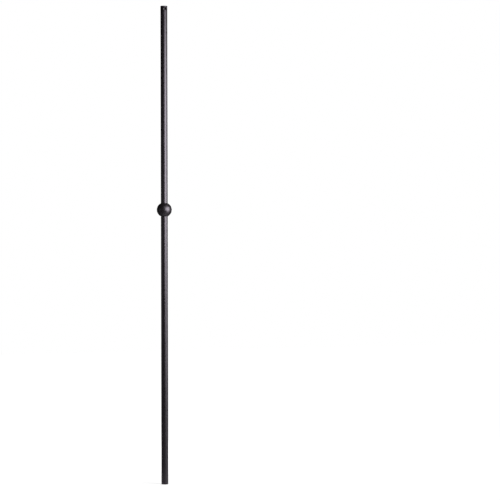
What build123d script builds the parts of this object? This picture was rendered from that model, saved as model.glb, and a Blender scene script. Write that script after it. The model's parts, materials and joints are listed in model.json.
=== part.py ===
"""Sphere baluster: a straight round steel tube with one bored ball seated on it.

It stands between a stair tread and a handrail. Sizes are in millimetres, +Z runs
up the baluster and the origin is the centre of its foot.
"""

import os

from build123d import *

# Tube, a 5/8 inch class round section at the 44 inch stock length
TUBE_LENGTH = 1117.6
TUBE_DIAMETER = 16.0
TUBE_WALL = 1.2
OUTER_EDGE_RADIUS = 0.5
INNER_EDGE_CHAMFER = 0.3

# Quarter inch hole that the tube hangs from while it is coated, drilled across both walls
HANGING_HOLE_DIAMETER = 6.35
HANGING_HOLE_BELOW_TOP = 6.5

# Ball, turned from solid steel and bored to slide on the tube
BALL_DIAMETER = 35.0
BALL_CENTRE_HEIGHT = 641.35
BALL_MOUTH_CHAMFER = 0.2
BALL_FIT_CLEARANCE = 0.05

tube_radius = TUBE_DIAMETER / 2
ball_bore_diameter = TUBE_DIAMETER + 2 * BALL_FIT_CLEARANCE
hanging_hole_height = TUBE_LENGTH - HANGING_HOLE_BELOW_TOP

os.makedirs("parts", exist_ok=True)

# Tube: drawn ring section, with its outer corners eased and its bore deburred
with BuildPart() as tube:
    with BuildSketch(Plane.XY) as tube_section:
        Circle(tube_radius)
        Circle(tube_radius - TUBE_WALL, mode=Mode.SUBTRACT)
    extrude(amount=TUBE_LENGTH)
    end_faces = tube.faces().filter_by(GeomType.PLANE)
    outer_edges = [face.outer_wire().edge() for face in end_faces]
    inner_edges = [face.inner_wires()[0].edge() for face in end_faces]
    fillet(outer_edges, OUTER_EDGE_RADIUS)
    chamfer(inner_edges, INNER_EDGE_CHAMFER)
    with BuildSketch(Plane.XZ) as hanging_hole:
        with Locations((0, hanging_hole_height)):
            Circle(HANGING_HOLE_DIAMETER / 2)
    extrude(amount=TUBE_DIAMETER, both=True, mode=Mode.SUBTRACT)
tube.part.label = "tube"
export_step(tube.part, "parts/tube.step")

# Ball: full sphere on the tube's axis, bored through, with both mouths deburred
with BuildPart(Plane.XY.offset(BALL_CENTRE_HEIGHT)) as ball:
    Sphere(BALL_DIAMETER / 2)
    Hole(ball_bore_diameter / 2)
    chamfer(ball.edges().filter_by(GeomType.CIRCLE), BALL_MOUTH_CHAMFER)
ball.part.label = "ball"
export_step(ball.part, "parts/ball.step")
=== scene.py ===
"""Sphere baluster in satin black powder coat, upright on a pale floor in soft studio light.

All lengths are metres.
"""

import json
import math

import bmesh
import bpy
from mathutils import Euler, Matrix, Vector


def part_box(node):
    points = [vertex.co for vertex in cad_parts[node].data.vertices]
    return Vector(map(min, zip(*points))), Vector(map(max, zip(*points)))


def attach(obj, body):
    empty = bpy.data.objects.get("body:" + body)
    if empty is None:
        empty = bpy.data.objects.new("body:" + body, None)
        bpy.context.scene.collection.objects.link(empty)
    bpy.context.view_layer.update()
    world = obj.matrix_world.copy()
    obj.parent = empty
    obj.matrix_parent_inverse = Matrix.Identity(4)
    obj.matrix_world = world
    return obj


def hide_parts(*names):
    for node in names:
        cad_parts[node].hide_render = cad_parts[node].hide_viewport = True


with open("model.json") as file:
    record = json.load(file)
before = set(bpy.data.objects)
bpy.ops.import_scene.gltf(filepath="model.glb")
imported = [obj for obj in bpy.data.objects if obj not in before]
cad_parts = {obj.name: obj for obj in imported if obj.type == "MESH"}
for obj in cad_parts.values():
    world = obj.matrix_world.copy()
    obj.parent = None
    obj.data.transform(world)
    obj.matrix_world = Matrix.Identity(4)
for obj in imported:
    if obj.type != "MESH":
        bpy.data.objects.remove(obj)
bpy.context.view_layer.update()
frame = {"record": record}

MM = 0.001

# Sizes that the frame gives
mounts = {mount["name"]: mount for mount in frame["record"]["mounts"]}
tube_low, tube_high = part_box("tube")
ball_low, ball_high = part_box("ball")
TUBE_LENGTH = tube_high.z - tube_low.z
TUBE_RADIUS = mounts["foot_end"]["dims"]["r_mm"] * MM
BORE_RADIUS = mounts["tube_bore"]["dims"]["r_mm"] * MM
HOLE_RADIUS = mounts["hanging_hole"]["dims"]["r_mm"] * MM
HOLE_HEIGHT = mounts["hanging_hole"]["pos_m"][2]
BALL_RADIUS = ball_high.x
BALL_HEIGHT = (ball_low.z + ball_high.z) / 2

# Edges and fit, of the solids' own sizes
OUTER_EDGE = 0.5 * MM
INNER_EDGE = 0.3 * MM
MOUTH_EDGE = 0.2 * MM
BALL_CLEARANCE = 0.05 * MM

# Rounding that the coat gives to the rims of the hanging hole
RIM_EDGE = 0.25 * MM

# How finely the pieces are turned
TURNS = 128
BALL_STEPS = 72
EDGE_STEPS = 5
MOUTH_STEPS = 2

# The patch of wall round the hanging hole: its turning steps to each side, the rings laid
# between its frame and the rim, and how near to a level cut a point counts as on it
PATCH_STEPS = 12
PATCH_RINGS = 6
CUT_TOLERANCE = 0.001 * MM

# The places of a Mix node's two colours and of the mixed one
MIX_START = 6
MIX_FINISH = 7
MIX_RESULT = 2


class Socket:
    """A node's output that can stand in Python sums, in a shader or a geometry tree."""

    def __init__(self, graph, output):
        self.graph = graph
        self.output = output

    def __add__(self, other):
        return self.graph.calc("ADD", self, other)

    def __radd__(self, other):
        return self.graph.calc("ADD", other, self)

    def __sub__(self, other):
        return self.graph.calc("SUBTRACT", self, other)

    def __rsub__(self, other):
        return self.graph.calc("SUBTRACT", other, self)

    def __mul__(self, other):
        return self.graph.calc("MULTIPLY", self, other)

    def __rmul__(self, other):
        return self.graph.calc("MULTIPLY", other, self)

    def __truediv__(self, other):
        return self.graph.calc("DIVIDE", self, other)

    def __neg__(self):
        return self.graph.calc("MULTIPLY", self, -1)

    def __abs__(self):
        return self.graph.calc("ABSOLUTE", self)

    def beside(self, name):
        """Another output of the same node."""
        return Socket(self.graph, self.output.node.outputs[name])


class Graph:
    """A node tree with one method that adds any node."""

    def __init__(self, tree):
        self.tree = tree
        tree.nodes.clear()

    def add(self, kind, settings=None, sockets=None, output=0):
        """Adds a node, sets it, fills its sockets with values or links, and returns an output.

        A node that ends its tree has no output, and nothing is returned.
        """
        node = self.tree.nodes.new(kind)
        for name, value in (settings or {}).items():
            setattr(node, name, value)
        for name, value in (sockets or {}).items():
            if isinstance(value, Socket):
                self.tree.links.new(value.output, node.inputs[name])
            else:
                node.inputs[name].default_value = value
        return Socket(self, node.outputs[output]) if node.outputs else None

    def calc(self, operation, *values):
        return self.add("ShaderNodeMath", {"operation": operation}, dict(enumerate(values)))

    def ease(self, value, low, high):
        """Rises smoothly from 0 at the low value to 1 at the high one."""
        settings = {"interpolation_type": "SMOOTHSTEP"}
        sockets = {"Value": value, "From Min": low, "From Max": high}
        return self.add("ShaderNodeMapRange", settings, sockets)


def new_object(name, data):
    """An object with this data, in the scene."""
    made = bpy.data.objects.new(name, data)
    bpy.context.scene.collection.objects.link(made)
    return made


def new_material(name):
    """An empty material and the graph of its nodes."""
    material = bpy.data.materials.new(name)
    material.use_nodes = True
    return material, Graph(material.node_tree)


# Powder coat: its colour at its darkest and lightest, its reflections and its gloss
COAT_DARK = (0.0050, 0.0036, 0.0045, 1)
COAT_LIGHT = (0.0078, 0.0058, 0.0072, 1)
COAT_TINT = (0.95, 0.87, 1.0, 1)
COAT_SPECULAR = 1.0
COAT_ROUGHNESS = 0.39
ROUGHNESS_SPREAD = 0.06

# How large across its soft clouds of tone, its orange peel and its grain are, and how deep
CLOUD_SIZE = 30 * MM
PEEL_SIZE = 1.4 * MM
PEEL_DEPTH = 0.03 * MM
GRAIN_SIZE = 0.3 * MM
GRAIN_DEPTH = 0.003 * MM

# Bare steel inside the tube, and how far the powder drifts in from each end before it shows
STEEL = (0.22, 0.20, 0.18, 1)
STEEL_ROUGHNESS = 0.5
STEEL_METALLIC = 0.6
DRIFT_START = 4 * MM
DRIFT_END = 9 * MM
DRIFT_WANDER = 3 * MM

# A point this little outside the bore's radius still counts as its wall
BORE_MARGIN = 0.1 * MM


def powder_coat():
    """Satin near-black powder coat with a fine orange peel, over steel left bare in the tube."""
    material, graph = new_material("black_powder_coat")
    place = graph.add("ShaderNodeTexCoord", output="Object")

    def noise(size, detail):
        """Soft noise whose cells are about this size across."""
        sockets = {"Vector": place, "Scale": 1 / size, "Detail": detail}
        return graph.add("ShaderNodeTexNoise", None, sockets)

    def blend(factor, start, finish):
        """A colour this share of the way from one to the other."""
        sockets = {"Factor": factor, MIX_START: start, MIX_FINISH: finish}
        return graph.add("ShaderNodeMix", {"data_type": "RGBA"}, sockets, output=MIX_RESULT)

    cloud = noise(CLOUD_SIZE, detail=2.0)
    peel = noise(PEEL_SIZE, detail=1.0)
    grain = noise(GRAIN_SIZE, detail=0.0)

    x = graph.add("ShaderNodeSeparateXYZ", None, {"Vector": place})
    y = x.beside("Y")
    z = x.beside("Z")
    from_axis = graph.calc("SQRT", x * x + y * y)
    inside = graph.calc("LESS_THAN", from_axis, BORE_RADIUS + BORE_MARGIN)
    depth = TUBE_LENGTH / 2 - abs(z - TUBE_LENGTH / 2)
    bare = inside * graph.ease(depth + DRIFT_WANDER * (cloud - 0.5), DRIFT_START, DRIFT_END)

    colour = blend(bare, blend(cloud, COAT_DARK, COAT_LIGHT), STEEL)
    coat_roughness = COAT_ROUGHNESS - ROUGHNESS_SPREAD / 2 + ROUGHNESS_SPREAD * cloud
    roughness = coat_roughness + (STEEL_ROUGHNESS - COAT_ROUGHNESS) * bare
    peel_bump = graph.add("ShaderNodeBump", None, {"Height": peel, "Distance": PEEL_DEPTH})
    grain_bump = graph.add(
        "ShaderNodeBump", None, {"Height": grain, "Distance": GRAIN_DEPTH, "Normal": peel_bump}
    )
    shader = graph.add(
        "ShaderNodeBsdfPrincipled",
        None,
        {
            "Base Color": colour,
            "Metallic": STEEL_METALLIC * bare,
            "Roughness": roughness,
            "Specular Tint": COAT_TINT,
            "Specular IOR Level": COAT_SPECULAR,
            "Normal": grain_bump,
        },
    )
    graph.add("ShaderNodeOutputMaterial", None, {"Surface": shader})
    return material


# Turned pieces

def new_tree(name, sizes):
    """An empty geometry tree with one named input for each size, and the inputs as sockets."""
    tree = bpy.data.node_groups.new(name, "GeometryNodeTree")
    for size in sizes:
        tree.interface.new_socket(size, in_out="INPUT", socket_type="NodeSocketFloat")
    tree.interface.new_socket("Mesh", in_out="OUTPUT", socket_type="NodeSocketGeometry")
    graph = Graph(tree)
    entry = graph.add("NodeGroupInput")
    return graph, {size: entry.beside(size) for size in sizes}


def turn(graph, section, radius, height, material):
    """Sweeps a closed section round the upright axis, on a circle of this radius, and paints it."""
    circle = graph.add(
        "GeometryNodeCurvePrimitiveCircle",
        {"mode": "RADIUS"},
        {"Resolution": TURNS, "Radius": radius},
    )
    path = graph.add("GeometryNodeSetCurveNormal", {"mode": "Z_UP"}, {"Curve": circle})
    swept = graph.add("GeometryNodeCurveToMesh", None, {"Curve": path, "Profile Curve": section})
    lift = graph.add("ShaderNodeCombineXYZ", None, {"Z": height})
    placed = graph.add("GeometryNodeTransform", None, {"Geometry": swept, "Translation": lift})
    smooth = graph.add("GeometryNodeSetShadeSmooth", None, {"Geometry": placed})
    real = graph.add("GeometryNodeRealizeInstances", None, {"Geometry": smooth})
    painted = graph.add("GeometryNodeSetMaterial", None, {"Geometry": real, "Material": material})
    graph.add("NodeGroupOutput", None, {"Mesh": painted})


def tube_tree(material):
    """The tube: its wall's section, with the corners rounded, more outside than in the bore."""
    graph, size = new_tree(
        "Turned tube", ["Length", "Outer radius", "Bore radius", "Outer edge", "Inner edge"]
    )
    wall = size["Outer radius"] - size["Bore radius"]
    middle = (size["Outer radius"] + size["Bore radius"]) / 2
    rectangle = graph.add(
        "GeometryNodeCurvePrimitiveQuadrilateral",
        {"mode": "RECTANGLE"},
        {"Width": wall, "Height": size["Length"]},
    )
    place = graph.add("GeometryNodeInputPosition")
    across = graph.add("ShaderNodeSeparateXYZ", None, {"Vector": place})
    outside = graph.calc("GREATER_THAN", across, 0)
    edge = size["Outer edge"] * outside + size["Inner edge"] * (1 - outside)
    section = graph.add(
        "GeometryNodeFilletCurve",
        {"mode": "POLY"},
        {"Curve": rectangle, "Count": EDGE_STEPS, "Radius": edge},
    )
    turn(graph, section, middle, size["Length"] / 2, material)
    return graph.tree


def ball_tree(material):
    """The ball: a round section closed by the bore's wall, with both mouths eased."""
    graph, size = new_tree(
        "Turned ball", ["Ball radius", "Bore radius", "Mouth edge", "Centre height"]
    )
    reach = graph.calc("ARCCOSINE", size["Bore radius"] / size["Ball radius"])
    outline = graph.add(
        "GeometryNodeCurveArc",
        {"mode": "RADIUS"},
        {
            "Resolution": BALL_STEPS,
            "Radius": size["Ball radius"],
            "Start Angle": -reach,
            "Sweep Angle": 2 * reach,
        },
    )
    closed = graph.add("GeometryNodeSetSplineCyclic", None, {"Geometry": outline, "Cyclic": True})
    mouths = graph.add("GeometryNodeCurveEndpointSelection", None, {"Start Size": 1, "End Size": 1})
    eased = graph.add(
        "GeometryNodeFilletCurve",
        {"mode": "POLY"},
        {"Curve": closed, "Count": MOUTH_STEPS, "Radius": size["Mouth edge"] * mouths},
    )
    inward = graph.add("ShaderNodeCombineXYZ", None, {"X": -size["Bore radius"]})
    section = graph.add("GeometryNodeTransform", None, {"Geometry": eased, "Translation": inward})
    turn(graph, section, size["Bore radius"], size["Centre height"], material)
    return graph.tree


def finished_mesh(shape, name):
    """The plain mesh that an object's modifiers give."""
    depsgraph = bpy.context.evaluated_depsgraph_get()
    mesh = bpy.data.meshes.new_from_object(shape.evaluated_get(depsgraph))
    mesh.name = name
    return mesh


def plain_piece(name, tree, sizes):
    """Runs a geometry tree with these sizes and keeps its result as a plain mesh object."""
    maker = new_object(name + "_maker", bpy.data.meshes.new(name + "_maker"))
    modifier = maker.modifiers.new("Turned", "NODES")
    modifier.node_group = tree
    for item in tree.interface.items_tree:
        if item.in_out == "INPUT":
            modifier[item.identifier] = sizes[item.name]
    mesh = finished_mesh(maker, name)
    maker.modifiers.remove(modifier)
    bpy.data.objects.remove(maker)
    return new_object(name, mesh)


# Hanging hole

def drill_hanging_hole(piece, facing):
    """Opens the hanging hole in one wall of the tube, with rims rounded by the coat.

    Facing is 1 for the front wall and -1 for the back wall.
    """
    mesh = bmesh.new()
    mesh.from_mesh(piece.data)
    turn_step = 2 * math.pi / TURNS
    row_step = TUBE_RADIUS * turn_step
    middle = (TUBE_RADIUS + BORE_RADIUS) / 2

    # The columns and rows of the patch's frame, in order around it
    sides = range(-PATCH_STEPS, PATCH_STEPS)
    around = [(step, -PATCH_STEPS) for step in sides]
    around += [(PATCH_STEPS, step) for step in sides]
    around += [(-step, PATCH_STEPS) for step in sides]
    around += [(-PATCH_STEPS, -step) for step in sides]

    def column(point):
        """Turning steps from the middle of the wall that is drilled."""
        return math.atan2(facing * point.x, -facing * point.y) / turn_step

    def row(point):
        """Rows up from the middle of the hole."""
        return (point.z - HOLE_HEIGHT) / row_step

    def in_patch(face):
        centre = face.calc_center_median()
        return abs(column(centre)) < PATCH_STEPS and abs(row(centre)) < PATCH_STEPS

    def wall_point(x, z, radius, depth):
        """A point of the drilled wall, this deep behind the round surface of that radius."""
        return Vector((facing * x, facing * (depth - math.sqrt(radius * radius - x * x)), z))

    def ring(frame_verts, radius, share, reach, depth):
        """One ring of the patch: this share of the way from the frame to a circle of that reach."""
        verts = []
        for key in around:
            corner = frame_verts[key].co
            side = facing * corner.x
            angle = math.atan2(corner.z - HOLE_HEIGHT, side)
            x = side + share * (reach * math.cos(angle) - side)
            z = corner.z + share * (HOLE_HEIGHT + reach * math.sin(angle) - corner.z)
            verts.append(mesh.verts.new(wall_point(x, z, radius, depth)))
        return verts

    # Level cuts make the rows of the patch as tall as its columns are wide
    for step in range(-PATCH_STEPS, PATCH_STEPS + 1):
        everything = mesh.verts[:] + mesh.edges[:] + mesh.faces[:]
        level = (0, 0, HOLE_HEIGHT + step * row_step)
        bmesh.ops.bisect_plane(
            mesh, geom=everything, dist=CUT_TOLERANCE, plane_co=level, plane_no=(0, 0, 1)
        )

    # The patch comes out of both faces of the wall
    opened = [face for face in mesh.faces if in_patch(face)]
    bmesh.ops.delete(mesh, geom=opened, context="FACES")

    # The points of the two frames left there, by column and row
    outside = {}
    inside = {}
    for vert in mesh.verts:
        if vert.is_boundary:
            wall = outside if math.hypot(vert.co.x, vert.co.y) > middle else inside
            wall[round(column(vert.co)), round(row(vert.co))] = vert

    # Rings from the outer frame to the hole, over both rounded rims, and back to the inner frame
    rings = [[outside[key] for key in around]]
    for step in range(1, PATCH_RINGS):
        rings.append(ring(outside, TUBE_RADIUS, step / PATCH_RINGS, HOLE_RADIUS + RIM_EDGE, 0))
    for step in range(EDGE_STEPS + 1):
        lean = step / EDGE_STEPS * math.pi / 2
        reach = HOLE_RADIUS + RIM_EDGE * (1 - math.sin(lean))
        rings.append(ring(outside, TUBE_RADIUS, 1, reach, RIM_EDGE * (1 - math.cos(lean))))
    for step in range(EDGE_STEPS + 1):
        lean = step / EDGE_STEPS * math.pi / 2
        reach = HOLE_RADIUS + RIM_EDGE * (1 - math.cos(lean))
        rings.append(ring(outside, BORE_RADIUS, 1, reach, RIM_EDGE * (math.sin(lean) - 1)))
    for step in range(1, PATCH_RINGS):
        rings.append(ring(inside, BORE_RADIUS, 1 - step / PATCH_RINGS, HOLE_RADIUS + RIM_EDGE, 0))
    rings.append([inside[key] for key in around])

    for near, far in zip(rings, rings[1:]):
        for index in range(len(around)):
            after = (index + 1) % len(around)
            face = mesh.faces.new((near[index], near[after], far[after], far[index]))
            face.smooth = True
    mesh.to_mesh(piece.data)
    mesh.free()


def face_outward(piece):
    """Turns every face of a closed piece to point out."""
    mesh = bmesh.new()
    mesh.from_mesh(piece.data)
    bmesh.ops.recalc_face_normals(mesh, faces=mesh.faces[:])
    mesh.to_mesh(piece.data)
    mesh.free()


def settle_shading(piece):
    """Weights shading by the faces' areas, so long flat faces stay true beside small roundings."""
    modifier = piece.modifiers.new("Weighted", "WEIGHTED_NORMAL")
    modifier.mode = "FACE_AREA"
    shaded = finished_mesh(piece, piece.name)
    piece.modifiers.remove(modifier)
    piece.data = shaded


def hand_over(piece, node):
    """Finishes the piece and sets it in the node's place on the one body."""
    face_outward(piece)
    settle_shading(piece)
    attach(piece, "root")
    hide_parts(node)


coat = powder_coat()

tube = plain_piece(
    "tube_coated",
    tube_tree(coat),
    {
        "Length": TUBE_LENGTH,
        "Outer radius": TUBE_RADIUS,
        "Bore radius": BORE_RADIUS,
        "Outer edge": OUTER_EDGE,
        "Inner edge": INNER_EDGE,
    },
)
drill_hanging_hole(tube, 1)
drill_hanging_hole(tube, -1)
hand_over(tube, "tube")

ball = plain_piece(
    "ball_coated",
    ball_tree(coat),
    {
        "Ball radius": BALL_RADIUS,
        "Bore radius": TUBE_RADIUS + BALL_CLEARANCE,
        "Mouth edge": MOUTH_EDGE,
        "Centre height": BALL_HEIGHT,
    },
)
hand_over(ball, "ball")


# Where the photograph has the baluster in its square frame, in pixels: the rows of its ends,
# and the column of its axis at mid-height, with its top leaning this far to the left
PHOTO_SIDE = 500
PHOTO_TOP_Y = 5.43
PHOTO_FOOT_Y = 484.38
PHOTO_AXIS_X = 164.38
PHOTO_LEAN_DEG = 0.125
METRES_PER_PIXEL = TUBE_LENGTH / (PHOTO_FOOT_Y - PHOTO_TOP_Y)

LENS_MM = 150
SENSOR_MM = 36

# The camera stands this far to the left of the baluster's front, as the hanging hole shows
CAMERA_TURN_DEG = 22.5
studio_turn = Matrix.Rotation(math.radians(-CAMERA_TURN_DEG), 4, "Z")

WHITE = (1, 1, 1, 1)

# The floor, and the glow that the camera sees on it, which is weaker round the foot, where
# the shadow shows, and full from some way off
FLOOR_SIDE = 12.0
FLOOR_GREY = (0.4, 0.4, 0.4, 1)
FOOT_GLOW = 0.79
GLOW_RISES_FROM = 0.05
GLOW_FULL_FROM = 0.4

# A painted pool of light at the camera's right: a patch of floor that glows only for reflected
# rays, so the coat shows a painted reflection of it
PAINTED_POOL_PLACE = Vector((0.15, 0, 0))
PAINTED_POOL_GLOW = 0.45
PAINTED_POOL_FADES_FROM = 0.05
PAINTED_POOL_ENDS_AT = 0.3

# How brightly the surroundings shine on the object
WORLD_GLOW = 0.03


def studio_floor():
    """A wide pale floor that shows white and keeps the soft shadow of the baluster, with a painted
    pool of light that only reflections see.
    """
    shape = bmesh.new()
    bmesh.ops.create_grid(shape, x_segments=1, y_segments=1, size=FLOOR_SIDE / 2)
    data = bpy.data.meshes.new("floor")
    shape.to_mesh(data)
    shape.free()
    floor = new_object("floor", data)
    material, graph = new_material("floor_white")
    data.materials.append(material)

    def distance(operation, *points):
        """The length of one vector, or the distance between two points."""
        settings = {"operation": operation}
        return graph.add("ShaderNodeVectorMath", settings, dict(enumerate(points)), output="Value")

    seen = graph.add("ShaderNodeLightPath", output="Is Camera Ray")
    mirrored = seen.beside("Is Glossy Ray")
    place = graph.add("ShaderNodeTexCoord", output="Object")
    from_foot = distance("LENGTH", place)
    from_painted_pool = distance("DISTANCE", place, studio_turn @ PAINTED_POOL_PLACE)
    rise = graph.ease(from_foot, GLOW_RISES_FROM, GLOW_FULL_FROM)
    lift = FOOT_GLOW + (1 - FOOT_GLOW) * rise
    # Painted pool of light: a glow that only glossy rays see, which paints a reflection on the coat
    painted_pool = PAINTED_POOL_GLOW * (1 - graph.ease(from_painted_pool, PAINTED_POOL_FADES_FROM, PAINTED_POOL_ENDS_AT))
    strength = lift * seen + painted_pool * mirrored
    paper = graph.add("ShaderNodeBsdfDiffuse", None, {"Color": FLOOR_GREY})
    glow = graph.add("ShaderNodeEmission", None, {"Color": WHITE, "Strength": strength})
    surface = graph.add("ShaderNodeAddShader", None, {0: paper, 1: glow})
    graph.add("ShaderNodeOutputMaterial", None, {"Surface": surface})


def studio_world():
    """White where the camera sees it, and a weak even light on the object."""
    world = bpy.data.worlds.new("studio")
    bpy.context.scene.world = world
    world.use_nodes = True
    graph = Graph(world.node_tree)
    seen = graph.add("ShaderNodeLightPath", output="Is Camera Ray")
    strength = WORLD_GLOW + (1 - WORLD_GLOW) * seen
    sky = graph.add("ShaderNodeBackground", None, {"Color": WHITE, "Strength": strength})
    graph.add("ShaderNodeOutputWorld", None, {"Surface": sky})


def softbox(name, turn_deg, distance, height, wide, tall, brightness):
    """A level rectangular soft light that faces the baluster.

    It is turned this far to the right of the camera, and its brightness is that of its face.
    """
    data = bpy.data.lights.new(name, "AREA")
    data.shape = "RECTANGLE"
    data.size = wide
    data.size_y = tall
    data.energy = brightness * math.pi * wide * tall
    angle = math.radians(turn_deg)
    place = Vector((distance * math.sin(angle), -distance * math.cos(angle), height))
    aim = Vector((0, 0, height)) - place
    facing = aim.to_track_quat("-Z", "Y")
    lamp = new_object(name, data)
    lamp.matrix_world = studio_turn @ Matrix.LocRotScale(place, facing, None)
    lamp.visible_camera = False


def studio_camera():
    """A level camera with a long lens that puts the baluster where the photograph has it."""
    data = bpy.data.cameras.new("camera")
    data.lens = LENS_MM
    data.sensor_width = SENSOR_MM
    camera = new_object("camera", data)
    to_front = PHOTO_SIDE * METRES_PER_PIXEL * LENS_MM / SENSOR_MM
    to_axis = to_front + TUBE_RADIUS
    across = (PHOTO_SIDE / 2 - PHOTO_AXIS_X) * METRES_PER_PIXEL * to_axis / to_front
    up = (PHOTO_FOOT_Y - PHOTO_SIDE / 2) * METRES_PER_PIXEL
    place = Vector((across, -to_axis, up))
    level = Euler((math.pi / 2, math.radians(PHOTO_LEAN_DEG), 0))
    camera.matrix_world = studio_turn @ Matrix.LocRotScale(place, level, None)
    bpy.context.scene.camera = camera


studio_floor()
studio_world()

# The main light on the upper bar and the ball, with a brighter middle, and its weaker
# neighbour on the lower bar
softbox("key", turn_deg=54, distance=0.65, height=0.83, wide=0.88, tall=0.66, brightness=4.5)
softbox("key_middle", turn_deg=58, distance=0.65, height=0.80, wide=0.40, tall=0.36, brightness=3.2)
softbox("low", turn_deg=62, distance=0.80, height=0.33, wide=0.60, tall=0.36, brightness=2.45)

# A weak light from the left, and one from behind for the back
softbox("fill", turn_deg=-70, distance=1.5, height=0.50, wide=0.80, tall=0.60, brightness=0.38)
softbox("back", turn_deg=180, distance=1.2, height=0.75, wide=0.60, tall=0.90, brightness=4.0)

studio_camera()
bpy.context.scene.view_settings.view_transform = "Standard"
